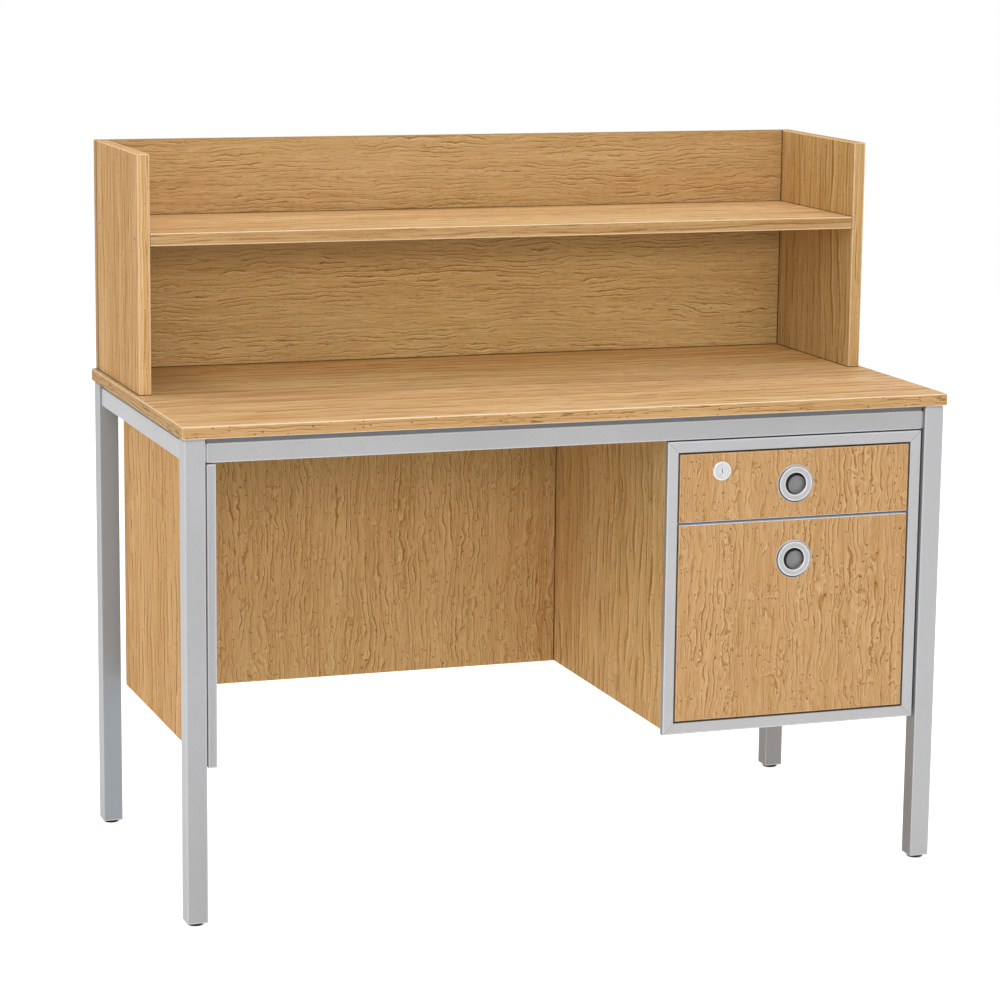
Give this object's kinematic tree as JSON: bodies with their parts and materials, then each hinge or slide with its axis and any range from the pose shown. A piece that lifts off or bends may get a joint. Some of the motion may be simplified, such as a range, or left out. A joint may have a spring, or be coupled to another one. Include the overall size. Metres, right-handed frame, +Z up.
{
  "type": "student desk with hutch",
  "caption": "Wood-laminate writing desk on a square steel frame, with a low hutch shelf above and a hanging pedestal of a lockable drawer over a file drawer.",
  "frame": {"origin": "on the floor, under the middle of the desktop", "axes": "+Z up; -Y is the front, where the sitter is; +X is the sitter's right, along the desktop's length"},
  "size_m": [1.219, 0.61, 1.115],
  "materials": {
    "oak_laminate": "satin",
    "oak_edging": "satin",
    "drawer_board": "matte",
    "silver_paint": "satin",
    "dark_strip": "satin",
    "zinc_steel": "satin",
    "chrome": "polished",
    "grey_cup": "satin",
    "end_cap_plastic": "matte",
    "black_glide": "matte"
  },
  "bodies": {
    "desk": {"desktop_board": "oak_laminate", "desktop_edging": "oak_edging", "leg_front_left": "silver_paint", "leg_front_right": "silver_paint", "leg_rear_left": "silver_paint", "leg_rear_right": "silver_paint", "leg_end_caps": "end_cap_plastic", "front_rail": "silver_paint", "rear_rail": "silver_paint", "left_rail": "silver_paint", "right_rail": "silver_paint", "rail_spigots": "silver_paint", "rail_spacers": "dark_strip", "rail_screws": "zinc_steel", "hutch_bolts": "zinc_steel", "short_screws": "zinc_steel", "panel_brackets": "zinc_steel", "modesty_panel": "oak_laminate", "left_end_panel": "oak_laminate", "end_panel_bar": "silver_paint", "pedestal_left_side": "oak_laminate", "pedestal_right_side": "oak_laminate", "pedestal_top": "oak_laminate", "pedestal_bottom": "oak_laminate", "pedestal_back": "oak_laminate", "pedestal_frame_uprights": "silver_paint", "pedestal_frame_crossbars": "silver_paint", "drawer_divider": "silver_paint", "slide_outer_members": "zinc_steel", "lock_keeper": "zinc_steel", "hutch_left_side": "oak_laminate", "hutch_right_side": "oak_laminate", "hutch_back": "oak_laminate", "hutch_shelf": "oak_laminate", "hutch_pins": "zinc_steel"},
    "upper_drawer": {"upper_drawer_front": "oak_laminate", "upper_drawer_box": "drawer_board", "upper_drawer_bottom": "drawer_board", "upper_front_screws": "zinc_steel", "upper_slide_inner_members": "zinc_steel", "upper_pull_ring": "chrome", "upper_pull_cup": "grey_cup", "lock_housing": "chrome", "lock_nut": "zinc_steel"},
    "lower_drawer": {"lower_drawer_front": "oak_laminate", "lower_drawer_box": "drawer_board", "lower_drawer_bottom": "drawer_board", "lower_front_screws": "zinc_steel", "lower_slide_inner_members": "zinc_steel", "lower_pull_ring": "chrome", "lower_pull_cup": "grey_cup", "lower_file_rails": "zinc_steel"},
    "upper_slide_middle": {"upper_slide_middle_members": "zinc_steel"},
    "lower_slide_middle": {"lower_slide_middle_members": "zinc_steel"},
    "drawer_lock": {"lock_plug": "chrome", "lock_cam": "zinc_steel"},
    "glide_front_left": {"glide_front_left": "black_glide"},
    "glide_front_right": {"glide_front_right": "black_glide"},
    "glide_rear_left": {"glide_rear_left": "black_glide"},
    "glide_rear_right": {"glide_rear_right": "black_glide"}
  },
  "joints": [
    {"name": "upper_drawer_slide", "type": "slide", "parent": "desk", "child": "upper_drawer", "axis": [0, -1, 0], "range_m": [0, 0.43]},
    {"name": "upper_middle_slide", "type": "slide", "parent": "desk", "child": "upper_slide_middle", "axis": [0, -1, 0], "range_m": [0, 0.215]},
    {"name": "lower_drawer_slide", "type": "slide", "parent": "desk", "child": "lower_drawer", "axis": [0, -1, 0], "range_m": [0, 0.43]},
    {"name": "lower_middle_slide", "type": "slide", "parent": "desk", "child": "lower_slide_middle", "axis": [0, -1, 0], "range_m": [0, 0.215]},
    {"name": "lock_turn", "type": "hinge", "parent": "upper_drawer", "child": "drawer_lock", "pos_m": [0.2355, -0.295, 0.6435], "axis": [0, 1, 0], "range_deg": [0, 90]},
    {"name": "level_front_left", "type": "slide", "parent": "desk", "child": "glide_front_left", "axis": [0, 0, -1], "range_m": [0, 0.01]},
    {"name": "level_front_right", "type": "slide", "parent": "desk", "child": "glide_front_right", "axis": [0, 0, -1], "range_m": [0, 0.01]},
    {"name": "level_rear_left", "type": "slide", "parent": "desk", "child": "glide_rear_left", "axis": [0, 0, -1], "range_m": [0, 0.01]},
    {"name": "level_rear_right", "type": "slide", "parent": "desk", "child": "glide_rear_right", "axis": [0, 0, -1], "range_m": [0, 0.01]}
  ],
  "couplings": [
    {"joint": "upper_middle_slide", "follows": "upper_drawer_slide", "ratio": 0.5},
    {"joint": "lower_middle_slide", "follows": "lower_drawer_slide", "ratio": 0.5}
  ]
}
